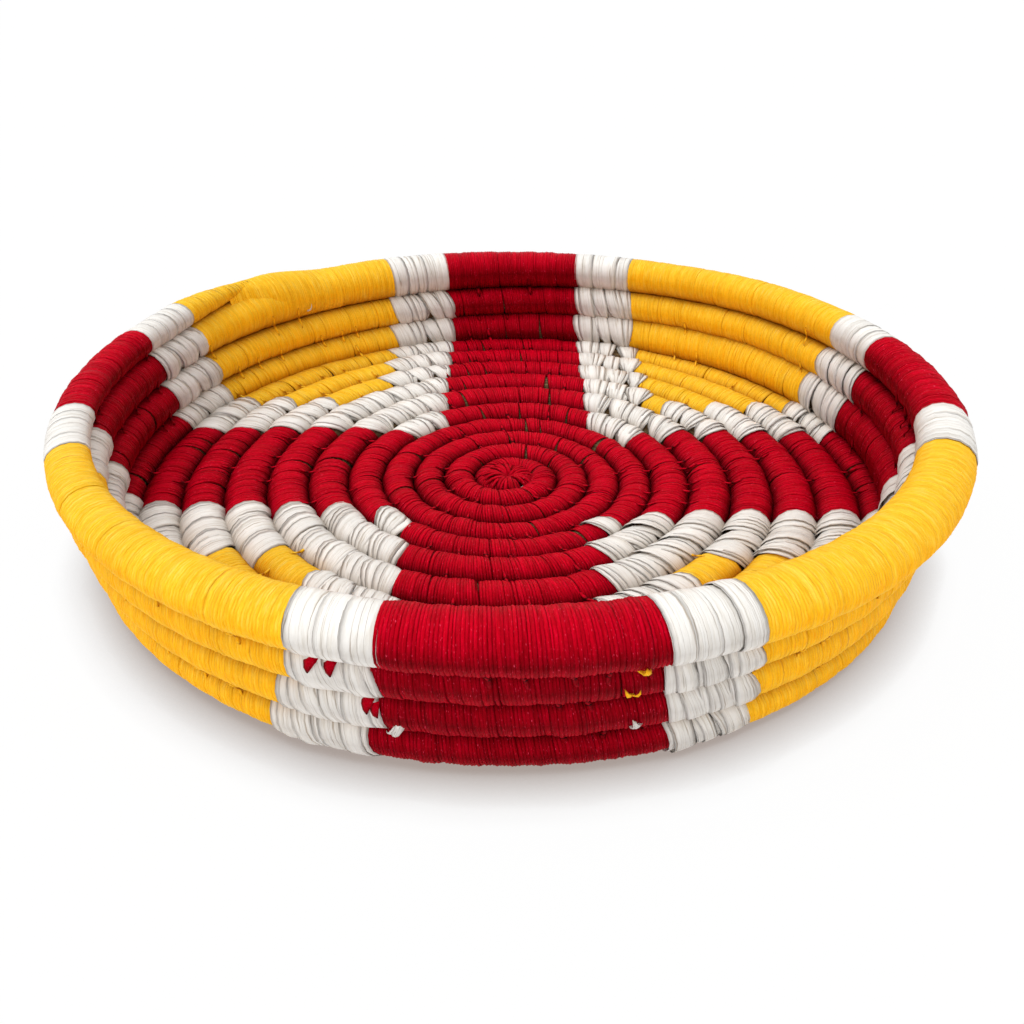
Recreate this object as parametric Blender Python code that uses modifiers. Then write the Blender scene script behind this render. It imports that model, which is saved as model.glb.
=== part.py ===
"""A shallow coiled basket: one long grass bundle, wound as a spiral and bound with coloured wraps.

The bundle starts in the middle of the base, runs clockwise seen from above, climbs into a low
leaning wall and ends in a thicker rim row. That row is thickest where it starts and thins towards its
end, so that the rim stays level, and its end is bound down on the row beneath.
The wraps change colour along the bundle, so that a red cross with white borders lies on yellow.
A place on the coil is given as a turn: the count of turns from the first full row, with whole
turns on the right (+X), quarters at the front (-Y), halves on the left and three quarters behind.
Lengths are in metres.
"""
import math

import bmesh
import bpy
import numpy as np
from mathutils import Matrix, Vector

# Rows: the full height of the wrapped bundle in each part of the basket
START_ROW_HEIGHT = 0.0055
CENTRE_ROW_HEIGHT = 0.0092
BASE_ROW_HEIGHT = 0.01206
WALL_ROW_HEIGHT = 0.0120
RIM_START_HEIGHT = 0.0180
RIM_ROW_HEIGHT = 0.0148
RIM_LATE_HEIGHT = 0.0108
END_ROW_HEIGHT = 0.0034

# The spiral
FIRST_ROW_RADIUS = 0.0122
START_EXTRA_RADIUS = 0.0020
RIM_OVERHANG = 0.00177
WALL_LEAN = math.radians(78)
ROW_GAP = 0.0003

# Places along the coil, in turns
START_TURN = -0.75
WIDEN_TURNS = (2.2, 5.2)
LEAN_TURNS = (9.1, 10.25)
RIM_TURNS = (11.50, 11.60)
RIM_SETTLE_TURNS = (11.62, 11.85)
RIM_THIN_TURNS = (12.2, 12.5)
TAPER_TURNS = (12.5, 12.605)
WALL_FROM_TURN = 8.9
RIM_FROM_TURN = 11.56

# Points of the coil in one turn: fewer where the rows are tight
CENTRE_STEPS = 16
OUTER_STEPS = 24
OUTER_STEPS_FROM_TURN = 3

# Wraps, and the grass bundle inside them
WRAP_THICKNESS = 0.0015
BUNDLE_CLEARANCE = 0.0003
WRAP_END_GAP = 0.0003
SHORTEST_WRAPPING = 0.006
BEND_CLEARANCE = 0.0016

# The cross, in plan: half the width of a red arm, and of an arm with its white borders
RED_HALF_WIDTH = 0.031
WHITE_HALF_WIDTH = 0.056

# Long stitches that bind a row to the row before it
STITCH_WIDTH = 0.0022
STITCH_HEIGHT = 0.0026

# Faces of the knot that starts the coil
KNOT_SEGMENTS = 12
KNOT_RINGS = 8

# Colour, as RGB, and roughness of each fibre
FIBRES = {
    "red": ((0.52, 0.003, 0.022), 0.55),
    "white": ((0.80, 0.78, 0.74), 0.45),
    "yellow": ((0.87, 0.48, 0.045), 0.55),
    "grass": ((0.55, 0.42, 0.20), 0.85),
}

HEXAGON_SLOPE = math.radians(30)
ARMS = ("right", "front", "left", "back")
CORNERS = ("front_right", "front_left", "back_left", "back_right")


def ease(turn, span):
    """Share from 0 to 1 across a span of turns, with a level start and end."""
    share = min(max((turn - span[0]) / (span[1] - span[0]), 0), 1)
    return share * share * (3 - 2 * share)


def laid_height(turn):
    """Row height that decides how far each row lies from the row before it."""
    height = CENTRE_ROW_HEIGHT
    height += (BASE_ROW_HEIGHT - CENTRE_ROW_HEIGHT) * ease(turn, WIDEN_TURNS)
    height += (WALL_ROW_HEIGHT - BASE_ROW_HEIGHT) * ease(turn, LEAN_TURNS)
    height += (RIM_START_HEIGHT - WALL_ROW_HEIGHT) * ease(turn, RIM_TURNS)
    height += (RIM_ROW_HEIGHT - RIM_START_HEIGHT) * ease(turn, RIM_SETTLE_TURNS)
    height += (RIM_LATE_HEIGHT - RIM_ROW_HEIGHT) * ease(turn, RIM_THIN_TURNS)
    return height + (END_ROW_HEIGHT - RIM_LATE_HEIGHT) * ease(turn, TAPER_TURNS)


def half_width(turn):
    """Half the corner-to-corner width of the six-sided row, thinner at the start of the coil."""
    thinning = (CENTRE_ROW_HEIGHT - START_ROW_HEIGHT) * (1 - ease(turn, (START_TURN, 0)))
    return (laid_height(turn) - thinning) / 2 / math.cos(HEXAGON_SLOPE)


def row_spacing(turn, lean):
    """Distance from a row to the one before it: six-sided rows sit closest on their flats."""
    facing = abs(lean % (2 * HEXAGON_SLOPE) - HEXAGON_SLOPE)
    return ((laid_height(turn) + laid_height(turn - 1)) / 2 + ROW_GAP) / math.cos(facing)


def coil_steps(turn):
    """Points of the coil in one turn at a place on it."""
    return CENTRE_STEPS if turn < OUTER_STEPS_FROM_TURN else OUTER_STEPS


def coil_middle(turn):
    """Radius and height of the middle of the bundle, row laid against row."""
    if turn < 1:
        chord = math.cos(math.pi / CENTRE_STEPS)
        radius = FIRST_ROW_RADIUS + turn * row_spacing(0, 0) / chord
        radius += START_EXTRA_RADIUS * (1 - ease(turn, (START_TURN, 0)))
        return radius, CENTRE_ROW_HEIGHT / 2
    radius, height = coil_middle(turn - 1)
    lean = WALL_LEAN * ease(turn, LEAN_TURNS)
    spacing = row_spacing(turn, lean)
    radius += spacing * math.cos(lean) / math.cos(math.pi / coil_steps(turn))
    height += spacing * math.sin(lean)
    if lean == 0:
        height = laid_height(turn) / 2
    if turn > RIM_TURNS[0]:
        rim_radius = coil_middle(RIM_TURNS[0])[0] + RIM_OVERHANG
        radius += (rim_radius - radius) * ease(turn, RIM_TURNS)
    return radius, height


def coil_point(turn):
    """Place of the bundle's middle on the true spiral."""
    radius, height = coil_middle(turn)
    angle = -2 * math.pi * turn
    return Vector((radius * math.cos(angle), radius * math.sin(angle), height))


def bends_between(start, end):
    """Turns of the coil's own points, where its straight runs meet, between two places."""
    centre_end = min(end, OUTER_STEPS_FROM_TURN)
    turns = [step / CENTRE_STEPS for step in
             range(math.ceil(start * CENTRE_STEPS), math.ceil(centre_end * CENTRE_STEPS))]
    outer_start = max(start, OUTER_STEPS_FROM_TURN)
    turns += [step / OUTER_STEPS for step in
              range(math.ceil(outer_start * OUTER_STEPS), math.ceil(end * OUTER_STEPS))]
    return [turn for turn in turns if start < turn < end]


def on_coil(turn):
    """Middle and half width of the row on the straight run that holds a place on the coil."""
    steps = coil_steps(turn)
    before = math.floor(turn * steps) / steps
    after = before + 1 / steps
    share = (turn - before) * steps
    middle = coil_point(before).lerp(coil_point(after), share)
    return middle, half_width(before) + (half_width(after) - half_width(before)) * share


def run_length(turn):
    """Length of one whole turn at a place on the coil."""
    return 2 * math.pi * coil_middle(turn)[0]


def clear_of_bends(turn):
    """The nearest place on the coil at which a square-cut end stands clear of a bend."""
    steps = coil_steps(turn)
    bend = round(turn * steps) / steps
    clear = BEND_CLEARANCE / run_length(turn)
    if abs(turn - bend) >= clear:
        return turn
    return bend + math.copysign(clear, turn - bend)


def half_arm(turn, half_wide):
    """Part of a turn from an arm's middle line to a line beside it."""
    return math.asin(min(half_wide / coil_middle(turn)[0], 1)) / (2 * math.pi)


def colour_stretches():
    """Stretches of the coil as (start, end, colour, node), in order along the bundle."""
    borders = []
    for quarter in range(math.ceil(4 * START_TURN), math.ceil(4 * TAPER_TURNS[1])):
        here, there = quarter / 4, (quarter + 1) / 4
        red_end = here + half_arm(here, RED_HALF_WIDTH)
        red_start = there - half_arm(there, RED_HALF_WIDTH)
        yellow_start = here + half_arm(here, WHITE_HALF_WIDTH)
        yellow_end = there - half_arm(there, WHITE_HALF_WIDTH)
        if (red_start - red_end) * run_length(here) < SHORTEST_WRAPPING:
            continue
        borders.append((red_end, "white"))
        if (yellow_end - yellow_start) * run_length(here) > SHORTEST_WRAPPING:
            borders += [(yellow_start, "yellow"), (yellow_end, "white")]
        borders.append((red_start, "red"))
    borders = [(clear_of_bends(turn), colour) for turn, colour in borders if turn < TAPER_TURNS[1]]
    borders.insert(0, (START_TURN, "red"))
    ends = [turn for turn, colour in borders[1:]] + [TAPER_TURNS[1]]
    return [(start, end, colour, node_name(start, end, colour))
            for (start, colour), end in zip(borders, ends)]


def node_name(start, end, colour):
    """Name of the node that holds one stretch: its zone, its colour and its side."""
    middle = (start + end) / 2
    if start == START_TURN:
        return "base_red_centre"
    if end == TAPER_TURNS[1]:
        return "coil_end_binding"
    zone = "base"
    if middle > WALL_FROM_TURN:
        zone = "wall"
    if middle > RIM_FROM_TURN:
        zone = "rim"
    corner = CORNERS[math.floor(4 * middle) % 4]
    arm = ARMS[round(4 * middle) % 4]
    if colour == "red":
        return zone + "_red_" + arm
    if colour == "white" and zone != "base":
        beside = [side for side in ARMS if side in corner and side != arm][0]
        return zone + "_white_" + arm + "_" + beside
    return zone + "_" + colour + "_" + corner


def make_collection(name, hidden=False):
    """A collection in the scene."""
    collection = bpy.data.collections.new(name)
    bpy.context.scene.collection.children.link(collection)
    collection.hide_render = hidden
    return collection


def give_fibre(part, fibre):
    """A material of the part's own, in the colour of its fibre."""
    colour, roughness = FIBRES[fibre]
    material = bpy.data.materials.new(part.name + "_" + fibre)
    material.use_nodes = True
    shader = material.node_tree.nodes["Principled BSDF"]
    shader.inputs["Base Color"].default_value = (*colour, 1)
    shader.inputs["Roughness"].default_value = roughness
    shader.inputs["Metallic"].default_value = 0
    part.data.materials.append(material)


def tube_mesh(name, stretches, inset, capped):
    """Six-sided tubes along stretches of the coil, each narrower than its row by an inset."""
    path = bpy.data.curves.new(name + "_path", "CURVE")
    path.dimensions = "3D"
    path.twist_mode = "Z_UP"
    path.bevel_depth = 1
    path.bevel_resolution = 1
    path.use_fill_caps = capped
    for start, end in stretches:
        turns = [start] + bends_between(start, end) + [end]
        spline = path.splines.new("POLY")
        spline.points.add(len(turns) - 1)
        for point, turn in zip(spline.points, turns):
            middle, wide = on_coil(turn)
            point.co = (*middle, 1)
            point.radius = wide - inset / math.cos(HEXAGON_SLOPE)
    guide = bpy.data.objects.new(name + "_path", path)
    bpy.context.scene.collection.objects.link(guide)
    graph = bpy.context.evaluated_depsgraph_get()
    mesh = bpy.data.meshes.new_from_object(guide.evaluated_get(graph))
    mesh.name = name
    bpy.data.objects.remove(guide)
    bpy.data.curves.remove(path)
    if capped:
        shell = bmesh.new()
        shell.from_mesh(mesh)
        bmesh.ops.remove_doubles(shell, verts=shell.verts, dist=ROW_GAP / 10)
        shell.to_mesh(mesh)
        shell.free()
    return mesh


def stitch_places(stretches):
    """Places at which a row of one colour lies against the next row of the same node."""
    places = []
    for start, end in stretches:
        for next_start, next_end in stretches:
            shared_start = max(start, next_start - 1)
            shared_end = min(end, next_end - 1)
            if shared_end - shared_start > STITCH_WIDTH / run_length(start) * 2:
                places.append((shared_start + shared_end) / 2)
    return places


def stitch_box(shell, turn):
    """One long stitch, sunk in the wraps of a row and of the row laid on it a turn later."""
    below, below_wide = on_coil(turn)
    above, above_wide = on_coil(turn + 1)
    middle = below.lerp(above, below_wide / (below_wide + above_wide))
    lean = math.atan2(above.z - below.z, above.xy.length - below.xy.length)
    if lean > 2 * HEXAGON_SLOPE:
        middle.xy = middle.xy.normalized() * (above.xy.length - above_wide / 2)
        lean = math.pi / 2
    sunk = Vector((STITCH_HEIGHT, STITCH_WIDTH, STITCH_HEIGHT))
    place = (Matrix.Translation(middle) @ Matrix.Rotation(-2 * math.pi * turn, 4, "Z")
             @ Matrix.Rotation(-lean, 4, "Y") @ Matrix.Diagonal((*sunk, 1)))
    bmesh.ops.create_cube(shell, size=1, matrix=place)


def make_wraps(name, fibre, stretches, parts, cutters):
    """Hollow wraps over the bundle: one closed body, its rows joined by long stitches."""
    outer = tube_mesh(name, [(start + WRAP_END_GAP / 2 / run_length(start),
                              end - WRAP_END_GAP / 2 / run_length(end))
                             for start, end in stretches], 0, False)
    wraps = bpy.data.objects.new(name, outer)
    parts.objects.link(wraps)
    give_fibre(wraps, fibre)
    wall = wraps.modifiers.new("wrap_thickness", "SOLIDIFY")
    wall.thickness = WRAP_THICKNESS
    wall.offset = -1
    wall.use_even_offset = True
    places = [] if name == "base_red_centre" else stitch_places(stretches)
    if not places:
        return
    shell = bmesh.new()
    for turn in places:
        stitch_box(shell, turn)
    stitch_mesh = bpy.data.meshes.new(name + "_stitches")
    shell.to_mesh(stitch_mesh)
    shell.free()
    stitches = bpy.data.objects.new(name + "_stitches", stitch_mesh)
    stitches.hide_render = True
    stitches.display_type = "WIRE"
    cutters.objects.link(stitches)
    joined = wraps.modifiers.new("stitches", "BOOLEAN")
    joined.operation = "UNION"
    joined.solver = "EXACT"
    joined.object = stitches


def make_foundation(bundle_end, parts):
    """The grass bundle: one unbroken tube through all the wraps."""
    inset = WRAP_THICKNESS + BUNDLE_CLEARANCE
    mesh = tube_mesh("foundation_coil", [(START_TURN, bundle_end)], inset, True)
    bundle = bpy.data.objects.new("foundation_coil", mesh)
    parts.objects.link(bundle)
    give_fibre(bundle, "grass")
    turns = [START_TURN] + bends_between(START_TURN, bundle_end) + [bundle_end]
    middles = np.array([on_coil(turn)[0][:] for turn in turns])
    wides = np.array([on_coil(turn)[1] for turn in turns]) - inset / math.cos(HEXAGON_SLOPE)
    apart = np.linalg.norm(middles[:, None] - middles[None, :], axis=2)
    gaps = apart - wides[:, None] - wides[None, :]
    places = np.array(turns)
    gaps[np.abs(places[:, None] - places[None, :]) < 1 / 2] = np.inf
    print("least gap of the bundle to itself, in mm:", round(float(gaps.min()) * 1000, 2))


def make_end_binding(start, end, parts):
    """The last wraps, pulled tight over the thinned end of the bundle."""
    stretch = (start + WRAP_END_GAP / 2 / run_length(start), end)
    mesh = tube_mesh("coil_end_binding", [stretch], 0, True)
    binding = bpy.data.objects.new("coil_end_binding", mesh)
    parts.objects.link(binding)
    give_fibre(binding, "yellow")


def make_knot(parts):
    """The knot at the start of the bundle, filling the hole inside the first row."""
    start, start_wide = on_coil(START_TURN)
    middle = Vector((0, 0, start.z))
    shell = bmesh.new()
    bmesh.ops.create_uvsphere(shell, u_segments=KNOT_SEGMENTS, v_segments=KNOT_RINGS,
                              radius=start.xy.length - start_wide - ROW_GAP,
                              matrix=Matrix.Translation(middle))
    mesh = bpy.data.meshes.new("starting_knot")
    shell.to_mesh(mesh)
    shell.free()
    mesh.shade_smooth()
    knot = bpy.data.objects.new("starting_knot", mesh)
    parts.objects.link(knot)
    give_fibre(knot, "red")


for old in list(bpy.data.objects):
    bpy.data.objects.remove(old)

basket_parts = make_collection("coiled_basket")
stitch_cutters = make_collection("stitch_shapes", hidden=True)

nodes = {}
for first, last, fibre_name, node in colour_stretches():
    nodes.setdefault(node, (fibre_name, []))[1].append((first, last))

end_start, end_end = nodes.pop("coil_end_binding")[1][0]
for node, (fibre_name, node_stretches) in nodes.items():
    make_wraps(node, fibre_name, node_stretches, basket_parts, stitch_cutters)
make_foundation(end_start, basket_parts)
make_end_binding(end_start, end_end, basket_parts)
make_knot(basket_parts)
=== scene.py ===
import math

import bpy
import numpy as np
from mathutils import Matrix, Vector


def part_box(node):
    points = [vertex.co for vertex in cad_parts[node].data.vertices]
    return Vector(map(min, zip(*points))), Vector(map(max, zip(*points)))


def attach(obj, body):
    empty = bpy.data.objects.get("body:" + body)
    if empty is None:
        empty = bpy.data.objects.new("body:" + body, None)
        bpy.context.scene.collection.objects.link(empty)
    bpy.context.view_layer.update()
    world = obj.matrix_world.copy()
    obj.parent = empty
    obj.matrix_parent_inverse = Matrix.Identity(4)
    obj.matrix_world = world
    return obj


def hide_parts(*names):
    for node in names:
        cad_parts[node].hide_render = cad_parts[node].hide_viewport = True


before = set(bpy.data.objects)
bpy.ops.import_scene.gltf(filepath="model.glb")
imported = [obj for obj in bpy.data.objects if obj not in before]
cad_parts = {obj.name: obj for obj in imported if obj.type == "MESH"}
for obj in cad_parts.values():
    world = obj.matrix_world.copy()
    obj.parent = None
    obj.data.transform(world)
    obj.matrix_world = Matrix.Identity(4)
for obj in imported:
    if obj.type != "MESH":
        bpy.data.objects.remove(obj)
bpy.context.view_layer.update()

# The stage: a plain white table, soft light from all round with a little more from above and from
# the front, and the camera at the photograph's angle, looking down into the basket.
CAMERA_PLACE = (0.0009, -0.3050, 0.1752)
CAMERA_DOWN = math.radians(30.97)
CAMERA_TURN = math.radians(-0.10)
CAMERA_LENS = 33.45
SENSOR_WIDTH = 36
NEAREST_SEEN = 0.01
TABLE_SIZE = 12
TABLE_WHITE = (0.93, 0.93, 0.93)
BACKDROP_SHARE = 0.97
SHADOW_REACH = 0.017
SHADOW_SPAN = (0.30, 0.96)
SHADOW_TINT = (0.40, 0.34, 0.31)
SKY_STRENGTH = 0.80
LAMPS = {"soft_sun": ((-0.5, 0.15, 1.0), 35, 0.95), "soft_front": ((-0.25, -1.0, 0.75), 60, 0.72)}


def seen_ray(tree, path):
    """1 for a ray from the camera, straight, mirrored or let through, and 0 for the light's own rays."""
    found = path.outputs["Is Camera Ray"]
    for kind in ("Is Glossy Ray", "Is Transmission Ray"):
        either = tree.nodes.new("ShaderNodeMath")
        either.operation = "MAXIMUM"
        tree.links.new(found, either.inputs[0])
        tree.links.new(path.outputs[kind], either.inputs[1])
        found = either.outputs[0]
    return found


scene = bpy.context.scene
scene.view_settings.view_transform = "Standard"

camera = bpy.data.objects.new("camera", bpy.data.cameras.new("camera"))
camera.location = CAMERA_PLACE
camera.rotation_euler = (math.pi / 2 - CAMERA_DOWN, 0, CAMERA_TURN)
camera.data.sensor_width = SENSOR_WIDTH
camera.data.lens = CAMERA_LENS
camera.data.clip_start = NEAREST_SEEN
scene.collection.objects.link(camera)
scene.camera = camera

for lamp_name, (lamp_from, lamp_spread, lamp_strength) in LAMPS.items():
    lamp = bpy.data.objects.new(lamp_name, bpy.data.lights.new(lamp_name, "SUN"))
    lamp.data.energy = lamp_strength
    lamp.data.angle = math.radians(lamp_spread)
    lamp.rotation_euler = Vector(lamp_from).to_track_quat("Z", "Y").to_euler()
    scene.collection.objects.link(lamp)

world = bpy.data.worlds.new("studio")
scene.world = world
world.use_nodes = True
sky = world.node_tree.nodes["Background"]
rays = world.node_tree.nodes.new("ShaderNodeLightPath")
strength = world.node_tree.nodes.new("ShaderNodeMix")
strength.inputs[2].default_value = SKY_STRENGTH
strength.inputs[3].default_value = 1
world.node_tree.links.new(seen_ray(world.node_tree, rays), strength.inputs[0])
world.node_tree.links.new(strength.outputs[0], sky.inputs["Strength"])
sky.inputs["Color"].default_value = (1, 1, 1, 1)

bpy.ops.mesh.primitive_plane_add(size=TABLE_SIZE)
table = bpy.context.object
table.name = "table"
table_paint = bpy.data.materials.new("white_table")
table_paint.use_nodes = True
table_tree = table_paint.node_tree
table_tree.nodes.clear()
table_out = table_tree.nodes.new("ShaderNodeOutputMaterial")
table_rays = table_tree.nodes.new("ShaderNodeLightPath")
seen = table_tree.nodes.new("ShaderNodeMixShader")
seen_share = table_tree.nodes.new("ShaderNodeMath")
seen_share.operation = "MULTIPLY"
seen_share.inputs[1].default_value = BACKDROP_SHARE
white = table_tree.nodes.new("ShaderNodeBsdfDiffuse")
white.inputs["Color"].default_value = (*TABLE_WHITE, 1)
backdrop = table_tree.nodes.new("ShaderNodeEmission")
# For camera rays the table glows evenly white, and the glow is darkened into a painted contact shadow where
# the basket is near.
nearness = table_tree.nodes.new("ShaderNodeAmbientOcclusion")
nearness.inputs["Distance"].default_value = SHADOW_REACH
contact = table_tree.nodes.new("ShaderNodeValToRGB")
contact.color_ramp.elements[0].position = SHADOW_SPAN[0]
contact.color_ramp.elements[0].color = (*SHADOW_TINT, 1)
contact.color_ramp.elements[1].position = SHADOW_SPAN[1]
contact.color_ramp.elements[1].color = (1, 1, 1, 1)
for output, socket in ((nearness.outputs["AO"], contact.inputs[0]),
                       (contact.outputs[0], backdrop.inputs["Color"]),
                       (seen_ray(table_tree, table_rays), seen_share.inputs[0]),
                       (seen_share.outputs[0], seen.inputs[0]),
                       (white.outputs[0], seen.inputs[1]),
                       (backdrop.outputs[0], seen.inputs[2]),
                       (seen.outputs[0], table_out.inputs["Surface"])):
    table_tree.links.new(output, socket)
table.data.materials.append(table_paint)

# The coil: the route of the grass bundle from the middle of the base, clockwise seen from above, to
# the end of the rim, counted in turns. Beside the frame's, its rows are fuller, the rim lies lower
# at the front left, and the thin end runs about 18 mm further.
START_ROW, CENTRE_ROW, BASE_ROW, WALL_ROW = 0.0055, 0.0092, 0.01206, 0.0120
RIM_START, RIM_ROW, RIM_LATE, END_ROW = 0.0180, 0.0148, 0.0108, 0.0034
FIRST_RADIUS, START_EXTRA, RIM_OVERHANG = 0.0122, 0.0020, 0.00177
ROW_GAP = 0.0003
WALL_LEAN = math.radians(78)
START_TURN = -0.75
WIDEN, LEANING, TAPER = (2.2, 5.2), (9.1, 10.25), (12.56, 12.625)
RIM_RISE, RIM_SETTLE, RIM_THIN = (11.545, 11.625), (11.64, 11.85), (12.2, 12.5)
TURNING_UP, TURNED_UP, UP_EXTRA = (9.45, 9.80), (10.05, 10.30), 0.0010
RIM_TRIM, RIM_SWELL = 0.0006, 0.05
LOW_RIM, LOW_FROM, LOW_UNTIL = 0.0007, (12.0, 12.3), (12.42, 12.54)
WALL_FROM, RIM_FROM = 8.9, 11.56
SIXTH = math.radians(60)
FACE_SWELL, WRAP_OVERLAP = 0.12, 1.035
ROW_COUNT = 13
CENTRE_STEPS, OUTER_STEPS, OUTER_FROM_TURN = 16, 24, 3
ROUTE_STEPS = 20000
SMALL_STEP = 0.001


def ease(turns, span):
    """Share from 0 to 1 across a span of turns."""
    share = np.clip((turns - span[0]) / (span[1] - span[0]), 0, 1)
    return share * share * (3 - 2 * share)


def row_height(turns):
    """Height of the row as it is laid."""
    height = CENTRE_ROW + (BASE_ROW - CENTRE_ROW) * ease(turns, WIDEN)
    height = height + (WALL_ROW - BASE_ROW) * ease(turns, LEANING)
    height = height + (RIM_START - WALL_ROW) * ease(turns, RIM_RISE)
    height = height + (RIM_ROW - RIM_START) * ease(turns, RIM_SETTLE)
    height = height + (RIM_LATE - RIM_ROW) * ease(turns, RIM_THIN)
    return height + (END_ROW - RIM_LATE) * ease(turns, TAPER)


def side_facing(lean):
    """How squarely a flat side of the frame's six-sided rows faces the next row, as a cosine."""
    return np.cos(np.abs(lean % SIXTH - SIXTH / 2))


def row_spacing(turns, lean):
    """Distance from a row to the row before it."""
    return ((row_height(turns) + row_height(turns - 1)) / 2 + ROW_GAP) / side_facing(lean)


def row_middle(turns, rim_radius=0):
    """Radius and height of the bundle's middle, row laid on row."""
    turns = np.asarray(turns, float)
    first = turns - np.maximum(np.floor(turns), 0)
    radius = FIRST_RADIUS + first * row_spacing(first * 0, first * 0) / math.cos(math.pi / CENTRE_STEPS)
    radius = radius + START_EXTRA * (1 - ease(first, (START_TURN, 0)))
    height = np.full_like(radius, CENTRE_ROW / 2)
    for row in range(1, ROW_COUNT):
        here = first + row
        laid = here <= turns + SMALL_STEP / 1000
        lean = WALL_LEAN * ease(here, LEANING)
        spacing = row_spacing(here, lean)
        chord = np.cos(np.pi / np.where(here < OUTER_FROM_TURN, CENTRE_STEPS, OUTER_STEPS))
        next_radius = radius + spacing * np.cos(lean) / chord
        next_height = np.where(lean == 0, row_height(here) / 2, height + spacing * np.sin(lean))
        if rim_radius:
            next_radius += (rim_radius - next_radius) * ease(here, RIM_RISE)
        radius = np.where(laid, next_radius, radius)
        height = np.where(laid, next_height, height)
    return radius, height


RIM_RADIUS = float(row_middle(RIM_RISE[0])[0]) + RIM_OVERHANG


def coil_point(turns):
    """Places of the bundle's middle on the spiral."""
    radius, height = row_middle(turns, RIM_RADIUS)
    angle = -2 * np.pi * turns
    return np.stack([radius * np.cos(angle), radius * np.sin(angle), height], 1)


def coil_frame(turns):
    """Middle of the row, and the directions along it, across the rows and out of its upper face."""
    middle = coil_point(turns)
    along = coil_point(turns + SMALL_STEP) - coil_point(turns - SMALL_STEP)
    along /= np.linalg.norm(along, axis=1)[:, None]
    across = middle - coil_point(np.maximum(turns - 1, START_TURN))
    across[turns < 1] = middle[turns < 1] * (1, 1, 0)
    across -= along * (across * along).sum(1)[:, None]
    across /= np.linalg.norm(across, axis=1)[:, None]
    return middle, along, across, np.cross(along, across)


def row_section(turns):
    """The row's frame, half its width across the rows and half its thickness through the basket."""
    middle, along, across, face = coil_frame(turns)
    facing = side_facing(WALL_LEAN * ease(turns, LEANING))
    thinner = (CENTRE_ROW - START_ROW) * (1 - ease(turns, (START_TURN, 0)))
    half = (row_height(turns) - thinner) / 2
    extra = UP_EXTRA * ease(turns, TURNING_UP) * (1 - ease(turns, TURNED_UP))
    trim = RIM_TRIM * ease(turns, RIM_RISE)
    trim = trim + LOW_RIM * ease(turns, LOW_FROM) * (1 - ease(turns, LOW_UNTIL))
    half_across = (half + ROW_GAP / 2) / facing * WRAP_OVERLAP + extra - trim
    half_face = half * (1 + FACE_SWELL * ease(turns, LEANING) + RIM_SWELL * ease(turns, RIM_RISE))
    return middle - across * trim[:, None], along, across, face, half_across, half_face


route_turns = np.linspace(START_TURN, TAPER[1], ROUTE_STEPS)
route_steps = np.linalg.norm(np.diff(coil_point(route_turns), axis=0), axis=1)
route_length = np.concatenate([[0], np.cumsum(route_steps)])

# The colour fields: where each dyed or natural fibre starts and ends along the coil. A red cross
# has white borders on yellow, in stretches that are the frame's own nodes.
RED_HALF_WIDTH = 0.031
WHITE_HALF_WIDTH = 0.056
SHORTEST_WRAPPING = 0.006
ARMS = ("right", "front", "left", "back")
CORNERS = ("front_right", "front_left", "back_left", "back_right")

# The weaver's eye set the borders, so they wander off the straight arms, by up to 10 mm at the rim.
# These are the distances along the coil by which a border comes late, row by row at the turns given.
WANDER_TURNS = (6.0, 8.25, 9.25, 10.25, 11.25, 12.25)
WANDERS = {("front", "red", -1): (0.0, 0.0034, -0.0073, -0.0058, -0.0029, -0.0032),
           ("front", "red", 1): (0.0, -0.0009, 0.0012, 0.0006, 0.0002, -0.0032),
           ("left", "white", -1): (0.0, -0.0030, -0.0025, -0.0010, 0.0, 0.0),
           ("front", "white", -1): (0.0, 0.0015, -0.0020, 0.0, 0.0010, 0.0020),
           ("front", "white", 1): (0.0, -0.0010, -0.0015, -0.0045, -0.0080, -0.0100),
           ("back", "red", 1): (0.0, 0.0, 0.0005, 0.0010, 0.0015, 0.0020),
           ("right", "red", -1): (0.0, 0.0, 0.0, 0.0, 0.0030, 0.0045),
           ("right", "red", 1): (0.0, 0.0, 0.0, 0.0, 0.0010, 0.0015),
           ("right", "white", -1): (0.0, 0.0, 0.0010, 0.0030, 0.0060, 0.0080)}


def half_arm(turn, half_wide):
    """Part of a turn from an arm's middle line to a line beside it."""
    radius = float(row_middle(turn, RIM_RADIUS)[0])
    return math.asin(min(half_wide / radius, 1)) / (2 * math.pi)


def border(turn, half_wide, side):
    """Place of a colour border before or after an arm's middle line, with its wander."""
    colour = "red" if half_wide == RED_HALF_WIDTH else "white"
    wander = WANDERS.get((ARMS[round(4 * turn) % 4], colour, side))
    late = float(np.interp(turn, WANDER_TURNS, wander)) if wander else 0
    around = 2 * math.pi * float(row_middle(turn, RIM_RADIUS)[0])
    return turn + side * half_arm(turn, half_wide) + late / around


def node_name(start, end, colour):
    """Name of the node that holds one stretch: its zone, its colour and its side."""
    middle = (start + end) / 2
    if start == START_TURN:
        return "base_red_centre"
    if end == TAPER[1]:
        return "coil_end_binding"
    zone = "rim" if middle > RIM_FROM else "wall" if middle > WALL_FROM else "base"
    corner = CORNERS[math.floor(4 * middle) % 4]
    arm = ARMS[round(4 * middle) % 4]
    if colour == "red":
        return zone + "_red_" + arm
    if colour == "white" and zone != "base":
        beside = [side for side in ARMS if side in corner and side != arm][0]
        return zone + "_white_" + arm + "_" + beside
    return zone + "_" + colour + "_" + corner


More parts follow.
